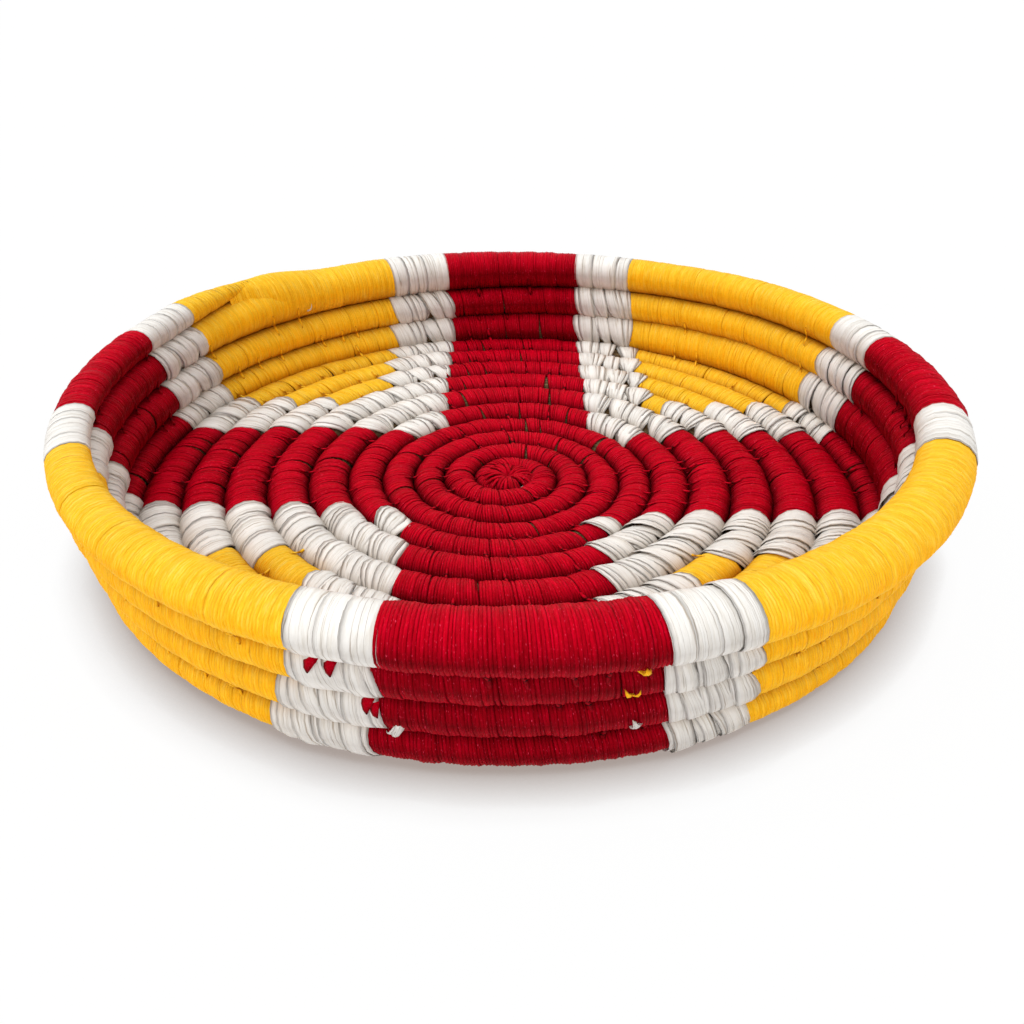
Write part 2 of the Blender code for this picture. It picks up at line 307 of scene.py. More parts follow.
borders = [(START_TURN, "red")]
for quarter in range(math.ceil(4 * START_TURN), math.ceil(4 * TAPER[1])):
    here, there = quarter / 4, (quarter + 1) / 4
    round_length = 2 * math.pi * float(row_middle(here, RIM_RADIUS)[0])
    red_end = border(here, RED_HALF_WIDTH, 1)
    red_start = border(there, RED_HALF_WIDTH, -1)
    yellow_start = border(here, WHITE_HALF_WIDTH, 1)
    yellow_end = border(there, WHITE_HALF_WIDTH, -1)
    if (red_start - red_end) * round_length < SHORTEST_WRAPPING:
        continue
    borders.append((red_end, "white"))
    if (yellow_end - yellow_start) * round_length > SHORTEST_WRAPPING:
        borders += [(yellow_start, "yellow"), (yellow_end, "white")]
    borders.append((red_start, "red"))
borders = [(turn, colour) for turn, colour in borders if turn < TAPER[1]]
ends = [turn for turn, colour in borders[1:]] + [TAPER[1]]
fields = {"red": {}, "white": {}, "yellow": {}}
for (start, colour), end in zip(borders, ends):
    node = node_name(start, end, colour)
    fields[colour].setdefault(node, []).append((start, end))

# The wraps: every turn of fibre round the bundle, as one thin strand that starts and ends in the
# valley against the row before. A few turns are pulled together into a clump where the weaver
# passes them through the row before, so clumps are narrow in the valleys and wide on top.
RING_POINTS = 17
UNEVEN_SIZE = 0.011
TABLE_CLEARANCE = 0.00005
BORDER_WIDTH = 0.006
CLUMP_END_SPREAD = 0.22
CLUMP_LEAN_SPREAD, WRAP_LEAN_SPREAD = 0.22, 0.08
TIGHTNESS_SPREAD, TIGHTNESS_SPAN = 0.35, (0.3, 1.7)
BULGE_SPREAD = 0.3
WRAP_WIDTH_SPAN = (0.85, 1.2)
LOOSE_UNEVENNESS = 4
# The values each strand keeps for the painted shade in the valleys.
VALUES_FOR_VALLEY_SHADE = {"free_edge", "next_side"}


def new_node(tree, kind, **values):
    """A node of the tree, with its inputs set or linked by name."""
    made = tree.nodes.new(kind)
    for name, value in values.items():
        sockets = [s for s in made.inputs if s.enabled and s.name.replace(" ", "_") == name]
        if isinstance(value, bpy.types.NodeSocket):
            tree.links.new(value, sockets[0])
        else:
            sockets[0].default_value = value
    return made


def formula(tree, operation, first, second=0.0):
    """The result of one sum in the tree."""
    made = tree.nodes.new("ShaderNodeMath")
    made.operation = operation
    for socket, value in zip(made.inputs, (first, second)):
        if isinstance(value, bpy.types.NodeSocket):
            tree.links.new(value, socket)
        else:
            socket.default_value = value
    return made.outputs[0]


def scaled(tree, vector, factor):
    """A direction times a number."""
    made = tree.nodes.new("ShaderNodeVectorMath")
    made.operation = "SCALE"
    tree.links.new(vector, made.inputs[0])
    tree.links.new(factor, made.inputs["Scale"])
    return made.outputs[0]


def added(tree, first, second):
    """The sum of two vectors."""
    made = tree.nodes.new("ShaderNodeVectorMath")
    made.operation = "ADD"
    tree.links.new(first, made.inputs[0])
    tree.links.new(second, made.inputs[1])
    return made.outputs[0]


def carried(tree, name, kind="FLOAT"):
    """A value that each wrap carries from its place on the coil."""
    made = tree.nodes.new("GeometryNodeInputNamedAttribute")
    made.data_type = kind
    made.inputs["Name"].default_value = name
    return made.outputs["Attribute"]


def kept(tree, geometry, name, value, kind="FLOAT"):
    """The geometry with a value stored on its points under a name."""
    made = tree.nodes.new("GeometryNodeStoreNamedAttribute")
    made.data_type = kind
    made.inputs["Name"].default_value = name
    tree.links.new(geometry, made.inputs["Geometry"])
    tree.links.new(value, made.inputs["Value"])
    return made.outputs[0]


def new_tree(name, sizes):
    """An empty Geometry Nodes tree with named inputs, and its input and output nodes."""
    tree = bpy.data.node_groups.new(name, "GeometryNodeTree")
    for label, kind in (("Geometry", "Geometry"), *sizes, ("Fibre", "Material")):
        tree.interface.new_socket(label, in_out="INPUT", socket_type="NodeSocket" + kind)
    tree.interface.new_socket("Geometry", in_out="OUTPUT", socket_type="NodeSocketGeometry")
    return tree, tree.nodes.new("NodeGroupInput").outputs, tree.nodes.new("NodeGroupOutput")


def finished(tree, geometry, fibre, result):
    """Clears the table top, shades the strands smooth and gives them their fibre."""
    place = tree.nodes.new("GeometryNodeInputPosition").outputs[0]
    parts = new_node(tree, "ShaderNodeSeparateXYZ", Vector=place).outputs
    above = new_node(tree, "ShaderNodeCombineXYZ", X=parts[0], Y=parts[1],
                     Z=formula(tree, "MAXIMUM", parts[2], TABLE_CLEARANCE)).outputs[0]
    geometry = new_node(tree, "GeometryNodeSetPosition", Geometry=geometry, Position=above).outputs[0]
    geometry = new_node(tree, "GeometryNodeSetShadeSmooth", Geometry=geometry).outputs[0]
    geometry = new_node(tree, "GeometryNodeSetMaterial", Geometry=geometry, Material=fibre).outputs[0]
    tree.links.new(geometry, result.inputs[0])


def strand_tree():
    """Geometry Nodes that set one strand on every point, slanted, pinched and a little uneven."""
    sizes = (("Path", "Object"), ("Sides", "Int"), ("Thickness", "Float"), ("Unevenness", "Float"),
             ("Unevenness Size", "Float"))
    tree, given, result = new_tree("strands", sizes)
    path = new_node(tree, "GeometryNodeObjectInfo", Object=given["Path"]).outputs["Geometry"]
    share = tree.nodes.new("GeometryNodeSplineParameter").outputs["Factor"]
    path = kept(tree, path, "around", formula(tree, "SUBTRACT", formula(tree, "MULTIPLY", share, 2), 1))
    section = new_node(tree, "GeometryNodeCurvePrimitiveCircle", Resolution=given["Sides"],
                       Radius=1.0).outputs["Curve"]
    place = tree.nodes.new("GeometryNodeInputPosition").outputs[0]
    place_parts = new_node(tree, "ShaderNodeSeparateXYZ", Vector=place).outputs
    section = kept(tree, section, "sideways", place_parts[0])
    flatness = new_node(tree, "ShaderNodeCombineXYZ", X=1.0, Y=given["Thickness"], Z=1.0).outputs[0]
    section = new_node(tree, "GeometryNodeTransform", Geometry=section, Scale=flatness).outputs[0]
    radius = tree.nodes.new("GeometryNodeInputRadius").outputs[0]
    strand = new_node(tree, "GeometryNodeCurveToMesh", Curve=path, Profile_Curve=section,
                      Scale=radius, Fill_Caps=True).outputs[0]

    across, face = carried(tree, "across", "FLOAT_VECTOR"), carried(tree, "face", "FLOAT_VECTOR")
    turned = new_node(tree, "FunctionNodeAxesToRotation", Primary_Axis=face,
                      Secondary_Axis=across).outputs[0]
    size = carried(tree, "size", "FLOAT_VECTOR")
    strands = new_node(tree, "GeometryNodeInstanceOnPoints", Points=given["Geometry"],
                       Instance=strand, Rotation=turned, Scale=size).outputs[0]
    strands = new_node(tree, "GeometryNodeRealizeInstances", Geometry=strands).outputs[0]

    around, sideways = carried(tree, "around"), carried(tree, "sideways")
    angle = formula(tree, "MULTIPLY", around, math.pi)
    cosine, sine = formula(tree, "COSINE", angle), formula(tree, "SINE", angle)
    away = formula(tree, "MAXIMUM", formula(tree, "MULTIPLY", cosine, -1), 0)
    inner = formula(tree, "MULTIPLY", formula(tree, "POWER", away, 2), carried(tree, "inner_pinch"))
    outer = formula(tree, "MULTIPLY", formula(tree, "POWER", formula(tree, "MAXIMUM", cosine, 0), 2),
                    carried(tree, "outer_pinch"))
    half_width = new_node(tree, "ShaderNodeSeparateXYZ", Vector=size).outputs[1]
    from_middle = formula(tree, "MULTIPLY", sideways, half_width)
    from_middle = formula(tree, "ADD", carried(tree, "shift"), from_middle)
    drawn_in = formula(tree, "MULTIPLY", formula(tree, "ADD", inner, outer), from_middle)
    moved = formula(tree, "SUBTRACT", formula(tree, "MULTIPLY", carried(tree, "slant"), around), drawn_in)
    outward = added(tree, scaled(tree, across, cosine), scaled(tree, face, sine))
    tilted = formula(tree, "MULTIPLY", sideways, carried(tree, "tilt"))
    raised = formula(tree, "ADD", carried(tree, "lift"), tilted)
    offset = added(tree, scaled(tree, carried(tree, "along", "FLOAT_VECTOR"), moved),
                   scaled(tree, outward, raised))
    strands = new_node(tree, "GeometryNodeSetPosition", Geometry=strands, Offset=offset).outputs[0]

    place = tree.nodes.new("GeometryNodeInputPosition").outputs[0]
    waves = new_node(tree, "ShaderNodeTexNoise", Vector=place, Detail=2.0,
                     Scale=formula(tree, "DIVIDE", 1, given["Unevenness Size"])).outputs["Color"]
    centred = tree.nodes.new("ShaderNodeVectorMath")
    centred.operation = "SUBTRACT"
    tree.links.new(waves, centred.inputs[0])
    centred.inputs[1].default_value = (0.5, 0.5, 0.5)
    strands = new_node(tree, "GeometryNodeSetPosition", Geometry=strands,
                       Offset=scaled(tree, centred.outputs[0], given["Unevenness"])).outputs[0]
    pattern = new_node(tree, "ShaderNodeCombineXYZ", X=around, Y=sideways,
                       Z=carried(tree, "tone")).outputs[0]
    strands = kept(tree, strands, "strand", pattern, "FLOAT_VECTOR")
    finished(tree, strands, given["Fibre"], result)
    return tree


def guide_curve(name, points, widths=None):
    """An open curve in the plane across a row, in shares of the row's half sizes."""
    curve = bpy.data.curves.new(name, "CURVE")
    curve.dimensions = "3D"
    spline = curve.splines.new("POLY")
    spline.points.add(len(points) - 1)
    for point, (sideways, up), width in zip(spline.points, points, widths or [1] * len(points)):
        point.co = (sideways, 0, up, 1)
        point.radius = width
    guide = bpy.data.objects.new(name, curve)
    scene.collection.objects.link(guide)
    return guide


def make_piece(name, points, vectors, floats, tree, sizes, replaced=None, edges=()):
    """One piece from points with values, by a Geometry Nodes tree, as a plain mesh on the basket."""
    places = bpy.data.meshes.new(name + "_places")
    places.from_pydata(points.tolist(), edges, [])
    for key, value in vectors.items():
        places.attributes.new(key, "FLOAT_VECTOR", "POINT").data.foreach_set("vector", value.ravel())
    for key, value in floats.items():
        places.attributes.new(key, "FLOAT", "POINT").data.foreach_set("value", value)
    source = bpy.data.objects.new(name + "_places", places)
    scene.collection.objects.link(source)
    winding = source.modifiers.new(tree.name, "NODES")
    winding.node_group = tree
    sockets = {s.name: s.identifier for s in tree.interface.items_tree if s.in_out == "INPUT"}
    for key, value in sizes.items():
        winding[sockets[key]] = value
    graph = bpy.context.evaluated_depsgraph_get()
    mesh = bpy.data.meshes.new_from_object(source.evaluated_get(graph))
    spent = {*vectors, *floats, "around", "sideways", "ring"} - VALUES_FOR_VALLEY_SHADE
    for key in [attribute.name for attribute in mesh.attributes if attribute.name in spent]:
        mesh.attributes.remove(mesh.attributes[key])
    bpy.data.objects.remove(source)
    bpy.data.meshes.remove(places)
    mesh.name = name
    piece = bpy.data.objects.new(name, mesh)
    scene.collection.objects.link(piece)
    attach(piece, "root")
    if replaced:
        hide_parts(replaced)
    return piece


strands = strand_tree()
ring_angles = np.linspace(-math.pi, math.pi, RING_POINTS)
ring = guide_curve("ring", [(math.cos(angle), math.sin(angle)) for angle in ring_angles])


def lay_wraps(stretches, pitch, clump, chance):
    """Places of the wraps on stretches of the coil: turn, place in the clump, clump and border."""
    rows = []
    clumps_before = 0
    for start, end in stretches:
        first, last = np.interp([start, end], route_turns, route_length)
        count = max(round((last - first) / pitch), 2)
        clumps = max(round((last - first) / clump), 1)
        edges = np.linspace(0, count, clumps + 1)
        edges[1:-1] += chance.uniform(-CLUMP_END_SPREAD, CLUMP_END_SPREAD, clumps - 1) * count / clumps
        step = (last - first) / count
        order = np.arange(count) + 0.5
        places = first + order * step
        owner = np.searchsorted(edges[1:-1], order)
        shift = places - (first + (edges[:-1] + edges[1:])[owner] / 2 * step)
        half_clump = (edges[1:] - edges[:-1])[owner] / 2 * step
        edge = np.minimum(places - first, last - places) / BORDER_WIDTH
        rows.append(np.stack([np.interp(places, route_length, route_turns), shift, shift / half_clump,
                              owner + clumps_before, np.clip(edge, 0, 1), np.full(count, step)]))
        clumps_before += clumps
    return np.concatenate(rows, 1)


def wind(node, stretches, fibre, slot, seed, pitch, clump, width, thickness, sides, slant,
         border_slant, pinch, bulge, tilt, loose, leader=0.0):
    """All the wraps of one node."""
    chance = np.random.default_rng(seed)
    turns, shift, share, owner, inside, step = lay_wraps(stretches, pitch, clump, chance)
    count = len(turns)
    owner = owner.astype(int)
    middle, along, across, face, half_across, half_face = row_section(turns)
    swing = chance.normal(0, 1, (4, count))
    clump_swing = chance.normal(0, 1, (4, owner.max() + 1))[:, owner]
    leads = (np.diff(owner, prepend=-1) > 0) * leader
    tightness = np.clip(1 + TIGHTNESS_SPREAD * clump_swing[0], *TIGHTNESS_SPAN)
    lean = slant * (1 + CLUMP_LEAN_SPREAD * clump_swing[1] + WRAP_LEAN_SPREAD * swing[0]) * inside
    lean = lean + border_slant * (1 - inside)
    rise = bulge * (1 - share ** 2) * (1 + BULGE_SPREAD * clump_swing[2])
    rise = rise + loose * (swing[1] + clump_swing[3])
    vectors = {"along": along, "across": across, "face": face,
               "size": np.stack([half_across, step * width / 2 * chance.uniform(*WRAP_WIDTH_SPAN, count),
                                 half_face], 1)}
    floats = {"shift": shift, "slant": lean + leads * slant, "tilt": tilt + loose * swing[2],
              "lift": rise + leads * bulge - half_face * thickness,
              "tone": chance.uniform(0, 1, count), "free_edge": (turns > TAPER[1] - 1).astype(float),
              "next_side": WALL_LEAN * (ease(turns + 1, LEANING) - ease(turns, LEANING)),
              "inner_pinch": pinch[0] * tightness, "outer_pinch": pinch[1] * tightness}
    sizes = {"Path": ring, "Sides": sides, "Thickness": thickness, "Unevenness": loose * LOOSE_UNEVENNESS,
             "Unevenness Size": UNEVEN_SIZE, "Fibre": fibre}
    return make_piece(node + "_wraps", middle, vectors, floats, strands, sizes, node)


LEVEL_SPAN = (0.0, 0.95)
VALLEY_SHARPNESS = 4
STREAK_ROUGHNESS = 0.6
SHADE_SPAN = (0.28, 0.72)
PATCH_SCALE = 45.0
CREASE_SCALE, CREASE_WIDTH = (0.3, 2.4, 37.0), 0.014
GRAIN_SPAN, PAINTED_GLINT_SPAN = (0.25, 0.75), (0.67, 0.77)
GRAIN_RELIEF = 0.5
BUMP_STRENGTH = 0.6


def mapped(tree, value, span, ends):
    """A number carried over from one span to another, and held at its ends."""
    return new_node(tree, "ShaderNodeMapRange", Value=value, From_Min=span[0], From_Max=span[1],
                    To_Min=ends[0], To_Max=ends[1]).outputs[0]


def mixed(tree, share, first, second):
    """A colour between two, each a colour of its own or a socket."""
    made = tree.nodes.new("ShaderNodeMix")
    made.data_type = "RGBA"
    tree.links.new(share, made.inputs["Factor"])
    colours = [socket for socket in made.inputs if socket.type == "RGBA"]
    for socket, colour in zip(colours, (first, second)):
        if isinstance(colour, bpy.types.NodeSocket):
            tree.links.new(colour, socket)
        else:
            socket.default_value = (*colour, 1)
    return [socket for socket in made.outputs if socket.type == "RGBA"][0]


def tinted(tree, colour, tint):
    """A colour times another."""
    made = tree.nodes.new("ShaderNodeVectorMath")
    made.operation = "MULTIPLY"
    tree.links.new(colour, made.inputs[0])
    tree.links.new(tint, made.inputs[1])
    return made.outputs[0]


def painted_light_and_shade(tree, strand, painted_side_shade, painted_top_light, valley_shade):
    """Painted light and shade: paler on level faces and deeper on the walls, and painted shade in the
    valleys.
    """
    normal = new_node(tree, "ShaderNodeSeparateXYZ",
                      Vector=tree.nodes.new("ShaderNodeTexCoord").outputs["Normal"]).outputs[2]
    # Painted light: by the normal, faces that look up are made paler and walls deeper, as light falls on
    # them.
    level = mapped(tree, formula(tree, "ABSOLUTE", normal), LEVEL_SPAN, (0, 1))
    by_light = mixed(tree, level, painted_side_shade, painted_top_light)
    # Painted shade: the colour darkens towards the valleys against the row before and the row after.
    edge, side = tree.nodes.new("ShaderNodeAttribute"), tree.nodes.new("ShaderNodeAttribute")
    edge.attribute_name, side.attribute_name = "free_edge", "next_side"
    around = new_node(tree, "ShaderNodeSeparateXYZ", Vector=strand).outputs[0]
    angle = formula(tree, "MULTIPLY", around, math.pi)
    before = formula(tree, "MULTIPLY", formula(tree, "COSINE", angle), -1)
    after = formula(tree, "MULTIPLY", formula(tree, "SUBTRACT", 1, edge.outputs["Fac"]),
                    formula(tree, "COSINE", formula(tree, "SUBTRACT", angle, side.outputs["Fac"])))
    deepest = formula(tree, "MAXIMUM", formula(tree, "MAXIMUM", before, after), 0)
    valley = formula(tree, "POWER", deepest, VALLEY_SHARPNESS)
    return tinted(tree, by_light, mixed(tree, valley, (1, 1, 1), valley_shade))


def fibre_material(name, shades, streak_scale, roughness, grain, gloss, painted_side_shade, painted_top_light, valley_shade,
                   variety=(0.86, 1.12), painted_glint=None, relief=0.00025, painted_crease_shade=None, shine=(1, 1, 1)):
    """A fibre whose shade runs in fine streaks along each strand and differs from wrap to wrap."""
    material = bpy.data.materials.new(name)
    material.use_nodes = True
    tree = material.node_tree
    shader = tree.nodes["Principled BSDF"]
    strand_node = tree.nodes.new("ShaderNodeAttribute")
    strand_node.attribute_name = "strand"
    strand = strand_node.outputs["Vector"]
    stretched = new_node(tree, "ShaderNodeMapping", Vector=strand, Scale=streak_scale)
    streaks = new_node(tree, "ShaderNodeTexNoise", Vector=stretched.outputs[0], Scale=1.0,
                       Detail=4.0, Roughness=STREAK_ROUGHNESS).outputs["Fac"]
    shade = tree.nodes.new("ShaderNodeValToRGB")
    shade_places = np.linspace(*SHADE_SPAN, len(shades))
    while len(shade.color_ramp.elements) < len(shades):
        shade.color_ramp.elements.new(0.5)
    for element, place, colour in zip(shade.color_ramp.elements, shade_places, shades):
        element.position = float(place)
        element.color = (*colour, 1)
    tree.links.new(streaks, shade.inputs[0])
    tone = new_node(tree, "ShaderNodeSeparateXYZ", Vector=strand).outputs[2]
    objects = tree.nodes.new("ShaderNodeTexCoord").outputs["Object"]
    patches = new_node(tree, "ShaderNodeTexNoise", Vector=objects, Scale=PATCH_SCALE,
                       Detail=2.0).outputs["Fac"]
    level = formula(tree, "MULTIPLY", mapped(tree, tone, (0, 1), variety),
                    mapped(tree, patches, (0, 1), variety))
    colour = scaled(tree, tinted(tree, shade.outputs["Color"],
                                 painted_light_and_shade(tree, strand, painted_side_shade, painted_top_light, valley_shade)), level)
    height = streaks
    if painted_crease_shade:
        folded = new_node(tree, "ShaderNodeMapping", Vector=strand, Scale=CREASE_SCALE)
        folds = new_node(tree, "ShaderNodeTexNoise", Vector=folded.outputs[0], Scale=1.0, Detail=1.0)
        from_fold = formula(tree, "ABSOLUTE", formula(tree, "SUBTRACT", folds.outputs["Fac"], 0.5))
        line = mapped(tree, from_fold, (0.0, CREASE_WIDTH), (0, 1))
        # Painted shade in the creases: the thin lines are darkened as well as pressed in by the bump.
        colour = tinted(tree, colour, mixed(tree, line, painted_crease_shade, (1, 1, 1)))
        height = formula(tree, "ADD", height, line)
    finely = new_node(tree, "ShaderNodeMapping", Vector=strand, Scale=grain)
    fine = new_node(tree, "ShaderNodeTexNoise", Vector=finely.outputs[0], Scale=1.0,
                    Detail=2.0).outputs["Fac"]
    colour = scaled(tree, colour, mapped(tree, fine, GRAIN_SPAN, variety))
    # Painted glints: pale specks of the given colour where the fine grain is highest.
    if painted_glint:
        colour = mixed(tree, mapped(tree, fine, PAINTED_GLINT_SPAN, (0, 1)), colour, painted_glint)
    tree.links.new(colour, shader.inputs["Base Color"])
    tree.links.new(mapped(tree, streaks, (0, 1), roughness), shader.inputs["Roughness"])
    height = formula(tree, "ADD", height, formula(tree, "MULTIPLY", fine, GRAIN_RELIEF))
    bump = new_node(tree, "ShaderNodeBump", Height=height, Strength=BUMP_STRENGTH, Distance=relief)
    tree.links.new(bump.outputs[0], shader.inputs["Normal"])
    shader.inputs["Specular IOR Level"].default_value = gloss
    shader.inputs["Specular Tint"].default_value = (*shine, 1)
    return material


# The red wraps: dyed fibre twisted into strands of about one millimetre, pulled tight, in clumps
# of about ten. They cover the cross, from the middle of the base up each arm to the rim.
# The red colour carries painted light and shade: deeper on the walls, paler on level faces, darker in the
# valleys, with pale painted glints.
red_fibre = fibre_material(
    "red_fibre", [(0.30, 0.0002, 0.005), (0.47, 0.0004, 0.011), (0.60, 0.001, 0.022)],
    streak_scale=(5, 1.2, 60), roughness=(0.45, 0.65), grain=(34, 2.5, 71), gloss=0.07,
    painted_side_shade=(0.39, 0.26, 0.28), painted_top_light=(1.16, 0.6, 1.0),
    valley_shade=(0.07, 0.04, 0.04), painted_glint=(0.85, 0.07, 0.14), shine=(1.0, 0.15, 0.2))
for place, (node, stretches) in enumerate(sorted(fields["red"].items())):
    rim = node.startswith("rim")
    wind(node, stretches, red_fibre, "red_fibre", seed=100 + place,
         pitch=0.00092 if rim else 0.00086, clump=0.0092, width=1.75, thickness=0.050, sides=4,
         slant=0.0012 if rim else 0.0026, border_slant=0.0016 if rim else 0.0032,
         pinch=(0.04, 0.0) if rim else (0.045, 0.03), bulge=0.0003, tilt=0.0, loose=0.00006,
         leader=0.2)

# The yellow wraps: the same kind of strand as the red ones, set a little closer. They fill the
# corners between the arms of the cross.
# The yellow colour carries painted light and shade: deep orange on the walls, paler on level faces, darker in
# the valleys.
yellow_fibre = fibre_material(
    "yellow_fibre", [(0.90, 0.38, 0.006), (0.96, 0.50, 0.014), (0.98, 0.58, 0.05)],
    streak_scale=(5, 1.2, 60), roughness=(0.50, 0.70), grain=(34, 2.5, 71), gloss=0.12,
    painted_side_shade=(0.99, 0.92, 0.5), painted_top_light=(1.0, 1.14, 2.0),
    valley_shade=(0.45, 0.26, 0.15), variety=(0.93, 1.06), shine=(1.0, 0.75, 0.30))
for place, (node, stretches) in enumerate(sorted(fields["yellow"].items())):
    rim = node.startswith("rim")
    wind(node, stretches, yellow_fibre, "yellow_fibre", seed=200 + place,
         pitch=0.00086 if rim else 0.00080, clump=0.0115, width=2.2, thickness=0.036, sides=4,
         slant=0.0012 if rim else 0.0024, border_slant=0.0016 if rim else 0.0032,
         pinch=(0.02, 0.0) if rim else (0.02, 0.015), bulge=0.00018, tilt=0.0, loose=0.00004,
         leader=0.12)

# The white wraps: broad flat strips of undyed leaf, folded and shingled, with a soft gloss. They
# border each arm of the cross; on the rim they lie as wide smooth bands.
# The white colour carries painted light and shade: greyer on the walls, paler on level faces, darker in the
# valleys and thin creases.
white_fibre = fibre_material(
    "white_fibre", [(0.70, 0.66, 0.60), (0.84, 0.82, 0.79), (0.87, 0.86, 0.84)],
    streak_scale=(2, 3.5, 60), roughness=(0.32, 0.48), grain=(9, 7, 71), gloss=0.40,
    painted_side_shade=(0.73, 0.71, 0.69), painted_top_light=(1.06, 1.05, 1.03),
    valley_shade=(0.70, 0.61, 0.53), variety=(0.95, 1.05), relief=0.0003, painted_crease_shade=(0.62, 0.54, 0.46))
WHITE_STRIPS = {"rim": dict(pitch=0.0058, clump=0.0058, width=1.3, slant=0.0020, border_slant=0.0016,
                            pinch=(0.30, 0.0), bulge=0.0002, tilt=0.0001, loose=0.00004, leader=0.0),
                "wall": dict(pitch=0.0023, clump=0.0066, width=2.7, slant=0.0070, border_slant=0.0032,
                             pinch=(0.38, 0.24), bulge=0.0009, tilt=0.0003, loose=0.00008, leader=0.1),
                "base": dict(pitch=0.0023, clump=0.0092, width=2.7, slant=0.0062, border_slant=0.0032,
                             pinch=(0.46, 0.32), bulge=0.0009, tilt=0.0003, loose=0.00008, leader=0.1)}
for place, (node, stretches) in enumerate(sorted(fields["white"].items())):
    zone = node.split("_")[0]
    wind(node, stretches, white_fibre, "white_fibre", seed=300 + place, thickness=0.030, sides=6,
         **WHITE_STRIPS[zone])

# The long stitches: here and there a red or a yellow strand crosses the valley and dives into the
# row before, which ties the two rows together. They show inside and outside the basket.
STITCH_ROUTE = [(-0.36, 0.90), (-0.55, 0.88), (-0.72, 0.79), (-0.86, 0.71), (-1.0, 0.68), (-1.14, 0.71),
                (-1.28, 0.75), (-1.42, 0.70)]
STITCH_WIDTHS = [0.3, 0.8, 1.0, 1.0, 1.0, 1.0, 0.8, 0.3]
FIRST_STITCHED_TURN, SHORTEST_STITCHED = 1.0, 2 * BORDER_WIDTH / 3
STITCH_PLACE_SPAN, STITCH_BACK_SHIFT = (0.25, 0.75), 0.0012
STITCH_WIDTH_SPAN, STITCH_SLANT_SPAN = (0.7, 1.3), (0.3, 1.5)
STITCH_UNEVENNESS = 0.0003
STRAND_NUMBERS = ("shift", "slant", "tilt", "lift", "inner_pinch", "outer_pinch")
stitch_path = guide_curve("stitch_path", STITCH_ROUTE, STITCH_WIDTHS)


def steady(count, **values):
    """The numbers that each strand carries, at 0 but for those given."""
    return {**{name: np.zeros(count) for name in STRAND_NUMBERS}, **values}


def stitch_rows(colour, fibre, seed, spacing, width, thickness, sides, slant, share):
    """Long stitches of one colour on every row that lies against a row before it."""
    chance = np.random.default_rng(seed)
    turns = []
    for stretches in fields[colour].values():
        for start, end in stretches:
            first, last = np.interp([max(start, FIRST_STITCHED_TURN), end], route_turns, route_length)
            if end > TAPER[0] or last - first < SHORTEST_STITCHED:
                continue
            count = max(round((last - first) / spacing), 1)
            order = np.arange(count) + chance.uniform(*STITCH_PLACE_SPAN, count)
            places = first + order * (last - first) / count
            turns.append(np.interp(places, route_length, route_turns)[chance.uniform(0, 1, count) < share])
    turns = np.concatenate(turns)
    back_shift = chance.uniform(-STITCH_BACK_SHIFT, STITCH_BACK_SHIFT, len(turns))
    turns = np.concatenate([turns, turns + back_shift])
    side = np.repeat([1, -1], len(turns) // 2)
    count = len(turns)
    middle, along, across, face, half_across, half_face = row_section(turns)
    vectors = {"along": along, "across": across, "face": face * side[:, None],
               "size": np.stack([half_across, width / 2 * chance.uniform(*STITCH_WIDTH_SPAN, count),
                                 half_face], 1)}
    floats = steady(count, slant=slant * side * chance.uniform(*STITCH_SLANT_SPAN, count),
                    tone=chance.uniform(0, 1, count))
    sizes = {"Path": stitch_path, "Sides": sides, "Thickness": thickness,
             "Unevenness": STITCH_UNEVENNESS, "Unevenness Size": UNEVEN_SIZE, "Fibre": fibre}
    return make_piece(colour + "_long_stitches", middle, vectors, floats, strands, sizes)


stitch_rows("red", red_fibre, seed=11, spacing=0.0092, width=0.0013, thickness=0.05,
            sides=4, slant=0.0008, share=0.4)
stitch_rows("yellow", yellow_fibre, seed=12, spacing=0.0115, width=0.0012,
            thickness=0.05, sides=4, slant=0.0008, share=0.3)

# The grass bundle: one unbroken bundle of dry stems inside the wraps, from the middle of the base to
# where the rim thins out. Its straw is painted dark as painted shade in the small gaps between the wraps.
BUNDLE_STEP = 0.0025
BUNDLE_SHARE = 0.86
BUNDLE_SIDES = 14
BUNDLE_END = 12.565


def bundle_tree():
    """Geometry Nodes that sweep an oval section along the coil."""
    tree, given, result = new_tree("bundle", (("Sides", "Int"),))
    path = new_node(tree, "GeometryNodeMeshToCurve", Mesh=given["Geometry"]).outputs[0]
    length = tree.nodes.new("GeometryNodeSplineParameter").outputs["Length"]
    path = kept(tree, path, "length", length)
    place = tree.nodes.new("GeometryNodeInputPosition").outputs[0]
    path = kept(tree, path, "middle", place, "FLOAT_VECTOR")
    section = new_node(tree, "GeometryNodeCurvePrimitiveCircle", Resolution=given["Sides"],
                       Radius=1.0).outputs["Curve"]
    section = kept(tree, section, "ring", place, "FLOAT_VECTOR")
    tube = new_node(tree, "GeometryNodeCurveToMesh", Curve=path, Profile_Curve=section,
                    Fill_Caps=True).outputs[0]
    ring_parts = new_node(tree, "ShaderNodeSeparateXYZ", Vector=carried(tree, "ring", "FLOAT_VECTOR")).outputs
    wide = formula(tree, "MULTIPLY", ring_parts[0], carried(tree, "half_across"))
    deep = formula(tree, "MULTIPLY", ring_parts[1], carried(tree, "half_face"))
    offset = added(tree, scaled(tree, carried(tree, "across", "FLOAT_VECTOR"), wide),
                   scaled(tree, carried(tree, "face", "FLOAT_VECTOR"), deep))
    place = added(tree, carried(tree, "middle", "FLOAT_VECTOR"), offset)
    tube = new_node(tree, "GeometryNodeSetPosition", Geometry=tube, Position=place).outputs[0]
    pattern = new_node(tree, "ShaderNodeCombineXYZ", X=carried(tree, "length"), Y=ring_parts[0],
                       Z=ring_parts[1]).outputs[0]
    tube = kept(tree, tube, "strand", pattern, "FLOAT_VECTOR")
    tube = new_node(tree, "GeometryNodeRealizeInstances", Geometry=tube).outputs[0]
    finished(tree, tube, given["Fibre"], result)
    return tree
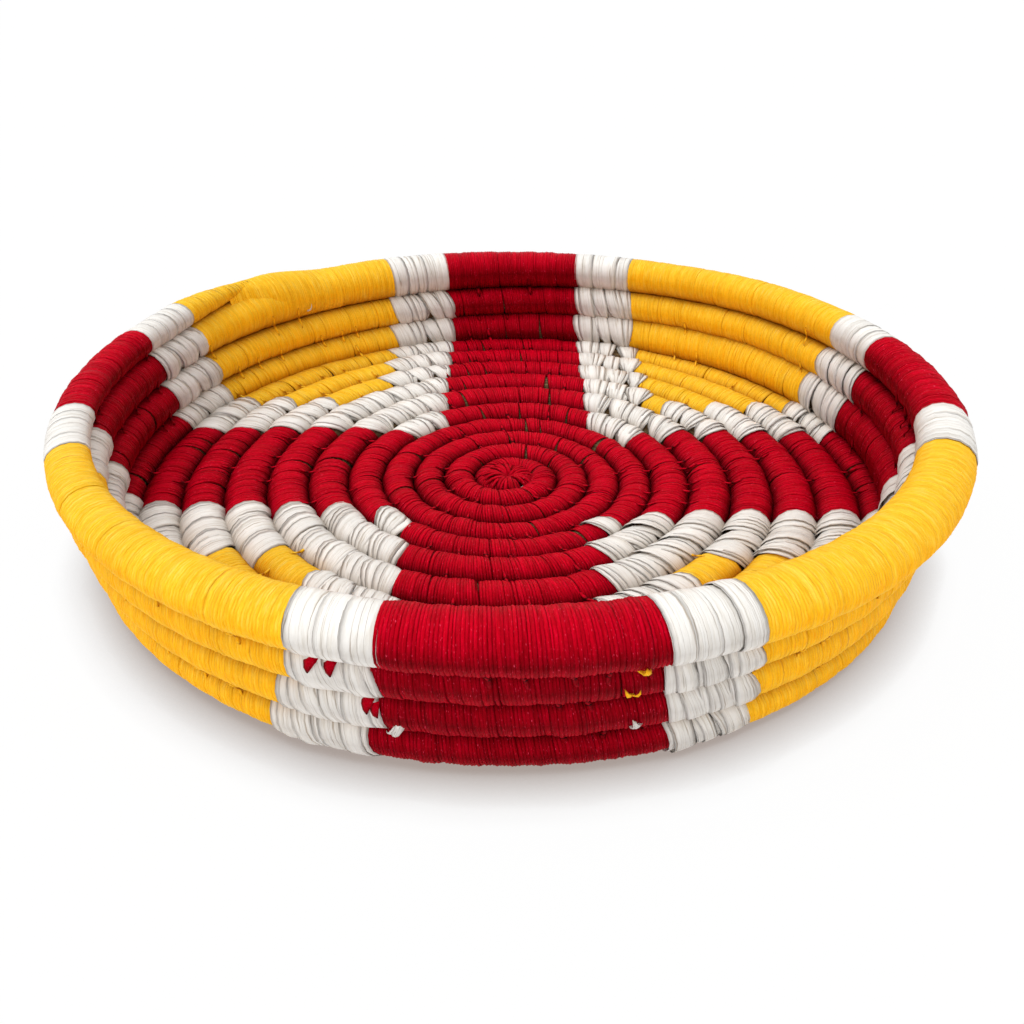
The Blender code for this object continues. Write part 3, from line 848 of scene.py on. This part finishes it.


# The straw colours are darkened with painted shade, since the bundle shows only in the gaps.
dry_grass = fibre_material(
    "dry_grass", [(0.03, 0.012, 0.006), (0.12, 0.07, 0.03), (0.34, 0.24, 0.12)],
    streak_scale=(60, 14, 14), roughness=(0.70, 0.90), grain=(300, 40, 40), gloss=0.1,
    painted_side_shade=(0.8, 0.8, 0.8), painted_top_light=(1, 1, 1), valley_shade=(0.8, 0.8, 0.8))
bundle_length = np.interp([START_TURN, BUNDLE_END], route_turns, route_length)
bundle_steps = np.arange(bundle_length[0], bundle_length[1], BUNDLE_STEP)
bundle_turns = np.interp(bundle_steps, route_length, route_turns)
bundle_middle, _, bundle_across, bundle_face, *bundle_halves = row_section(bundle_turns)
make_piece("grass_bundle", bundle_middle, {"across": bundle_across, "face": bundle_face},
           {"half_across": bundle_halves[0] * BUNDLE_SHARE, "half_face": bundle_halves[1] * BUNDLE_SHARE},
           bundle_tree(), {"Sides": BUNDLE_SIDES, "Fibre": dry_grass}, "foundation_coil",
           [(step, step + 1) for step in range(len(bundle_turns) - 1)])

# The knot: the first strands, wound through the hole of the first row again and again and pulled
# flat, so that they run out from the middle like the spokes of a rosette.
KNOT_STRANDS = 50
KNOT_RADIUS = 0.0052
KNOT_HALF = (0.0054, 0.00085, 0.0042)
KNOT_PLACE_SPREAD, KNOT_SLANT_SPREAD = 0.6, 0.0008
KNOT_SIZE_SPAN, KNOT_LIFT_SPAN = (0.85, 1.08), (-0.0003, 0.0002)
KNOT_PINCH, KNOT_THICKNESS, KNOT_UNEVENNESS = 0.75, 0.08, 0.0005
knot_chance = np.random.default_rng(17)
knot_low, knot_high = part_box("starting_knot")
knot_shift = knot_chance.uniform(-KNOT_PLACE_SPREAD, KNOT_PLACE_SPREAD, KNOT_STRANDS)
knot_place = np.arange(KNOT_STRANDS) + knot_shift
knot_angle = knot_place * 2 * math.pi / KNOT_STRANDS
knot_across = np.stack([np.cos(knot_angle), np.sin(knot_angle), knot_angle * 0], 1)
knot_up = np.tile([0.0, 0.0, 1.0], (KNOT_STRANDS, 1))
make_piece("starting_knot_strands", knot_across * KNOT_RADIUS + list((knot_low + knot_high) / 2),
           {"along": np.cross(knot_up, knot_across), "across": knot_across, "face": knot_up,
            "size": KNOT_HALF * knot_chance.uniform(*KNOT_SIZE_SPAN, (KNOT_STRANDS, 3))},
           steady(KNOT_STRANDS, slant=knot_chance.normal(0, KNOT_SLANT_SPREAD, KNOT_STRANDS),
                  lift=knot_chance.uniform(*KNOT_LIFT_SPAN, KNOT_STRANDS),
                  tone=knot_chance.uniform(0, 1, KNOT_STRANDS),
                  inner_pinch=np.full(KNOT_STRANDS, KNOT_PINCH)), strands,
           {"Path": ring, "Sides": 4, "Thickness": KNOT_THICKNESS, "Unevenness": KNOT_UNEVENNESS,
            "Unevenness Size": UNEVEN_SIZE / 4, "Fibre": red_fibre}, "starting_knot")

# The end of the coil is bound down: the last turns of yellow fibre go round the thin end and the
# row beneath it together, until the end has gone. From outside the basket the start of the binding
# still shows as a step.
BINDING_TURNS = (12.594, 12.654)
BINDING_STRANDS = 62
BINDING_FADE = (12.618, 12.656)
BINDING_GROWTH = (12.594, 12.624)
BINDING_SHARES = (0.50, 1.01)
BINDING_COVER = 0.0005
BINDING_WIDTH_SPAN, BINDING_THICKNESS = (0.9, 1.2), 0.036
BINDING_SLANT, BINDING_SLANT_SPREAD = 0.0016, 0.0002
BINDING_LIFT_SPREAD, BINDING_UNEVENNESS = 0.00004, 0.0001


def bind_end():
    """Wraps round both rows at the end of the coil, which fill the valley between them bit by bit."""
    chance = np.random.default_rng(19)
    turns = np.linspace(*BINDING_TURNS, BINDING_STRANDS)
    lower, *_, lower_half, half_face = row_section(turns - 1)
    _, along, across, face, *_ = row_section(turns)
    fade = 1 - ease(turns, BINDING_FADE)
    cover = BINDING_COVER * ease(turns, BINDING_GROWTH)
    thin = (row_height(np.minimum(turns, TAPER[1])) + cover) * fade
    filled = BINDING_SHARES[0] + (BINDING_SHARES[1] - BINDING_SHARES[0]) * ease(turns, BINDING_GROWTH)
    step = np.linalg.norm(lower[1] - lower[0])
    half_wide = step * chance.uniform(*BINDING_WIDTH_SPAN, BINDING_STRANDS)
    vectors = {"along": along, "across": across, "face": face,
               "size": np.stack([lower_half + thin / 2, half_wide, half_face * filled], 1)}
    slant = chance.normal(BINDING_SLANT, BINDING_SLANT_SPREAD, BINDING_STRANDS)
    lift = chance.normal(0, BINDING_LIFT_SPREAD, BINDING_STRANDS) - half_face * BINDING_THICKNESS
    floats = steady(BINDING_STRANDS, slant=slant, lift=lift, tone=chance.uniform(0, 1, BINDING_STRANDS),
                    free_edge=np.ones(BINDING_STRANDS))
    make_piece("rim_end_wraps", lower + across * (thin / 2)[:, None], vectors, floats, strands,
               {"Path": ring, "Sides": 4, "Thickness": BINDING_THICKNESS,
                "Unevenness": BINDING_UNEVENNESS, "Unevenness Size": UNEVEN_SIZE,
                "Fibre": yellow_fibre})


bind_end()

# The loose ends: short ends of fibre that stand out of a valley, yellow and white ones near the
# front arm's edges, red ones among its white strips and one pale thread at the end of the coil.
# Each has its turn, its angle round the row, the way that it points, its length and its width.
LOOSE_ROUTE = [(-0.25, -0.45), (0.0, 0.05), (0.4, 0.28), (0.75, 0.26), (1.0, 0.05)]
LOOSE_WIDTHS = [1.0, 1.0, 0.8, 0.5, 0.1]
LOOSE_TONE, LOOSE_THICKNESS, LOOSE_END_UNEVENNESS = 0.5, 0.10, 0.0004
LOOSE_ENDS = {"yellow": [(12.2170, -0.66, 0.2, 0.0044, 0.0013), (12.2178, -0.68, -0.3, 0.0036, 0.0012),
                         (11.2190, -0.56, 0.5, 0.0040, 0.0009), (11.2180, -0.58, -0.4, 0.0030, 0.0007)],
              "white": [(10.2150, -0.56, 0.5, 0.0042, 0.0013), (10.2160, -0.58, 0.1, 0.0038, 0.0012),
                        (10.2783, -0.55, 2.6, 0.0044, 0.0012), (10.2795, -0.60, 2.3, 0.0038, 0.0010),
                        (11.6340, 0.74, 2.9, 0.0042, 0.0004)],
              "red": [(11.2995, -0.22, 3.0, 0.0040, 0.0019), (11.2945, -0.22, 3.3, 0.0038, 0.0018),
                      (10.2868, -0.20, 3.2, 0.0040, 0.0018), (10.2850, -0.26, 3.5, 0.0034, 0.0014)]}
loose_path = guide_curve("loose_path", LOOSE_ROUTE, LOOSE_WIDTHS)
for colour, fibre in (("yellow", yellow_fibre), ("white", white_fibre), ("red", red_fibre)):
    turns, angle, way, length, width = np.array(LOOSE_ENDS[colour]).T
    middle, along, across, face, half_across, half_face = row_section(turns)
    cosine, sine = np.cos(math.pi * angle)[:, None], np.sin(math.pi * angle)[:, None]
    outward = across * cosine + face * sine
    over = face * cosine - across * sine
    pointing = over * np.cos(way)[:, None] + along * np.sin(way)[:, None]
    middle = middle + across * cosine * half_across[:, None] + face * sine * half_face[:, None]
    make_piece(colour + "_loose_ends", middle,
               {"along": along, "across": pointing, "face": outward,
                "size": np.stack([length, width, length], 1)},
               steady(len(turns), tone=np.full(len(turns), LOOSE_TONE),
                      free_edge=np.ones(len(turns))), strands,
               {"Path": loose_path, "Sides": 5, "Thickness": LOOSE_THICKNESS,
                "Unevenness": LOOSE_END_UNEVENNESS, "Unevenness Size": UNEVEN_SIZE / 4,
                "Fibre": fibre})

# The guide curves are no part of the basket, so they go.
for guide in (ring, stitch_path, loose_path):
    guide_line = guide.data
    bpy.data.objects.remove(guide)
    bpy.data.curves.remove(guide_line)
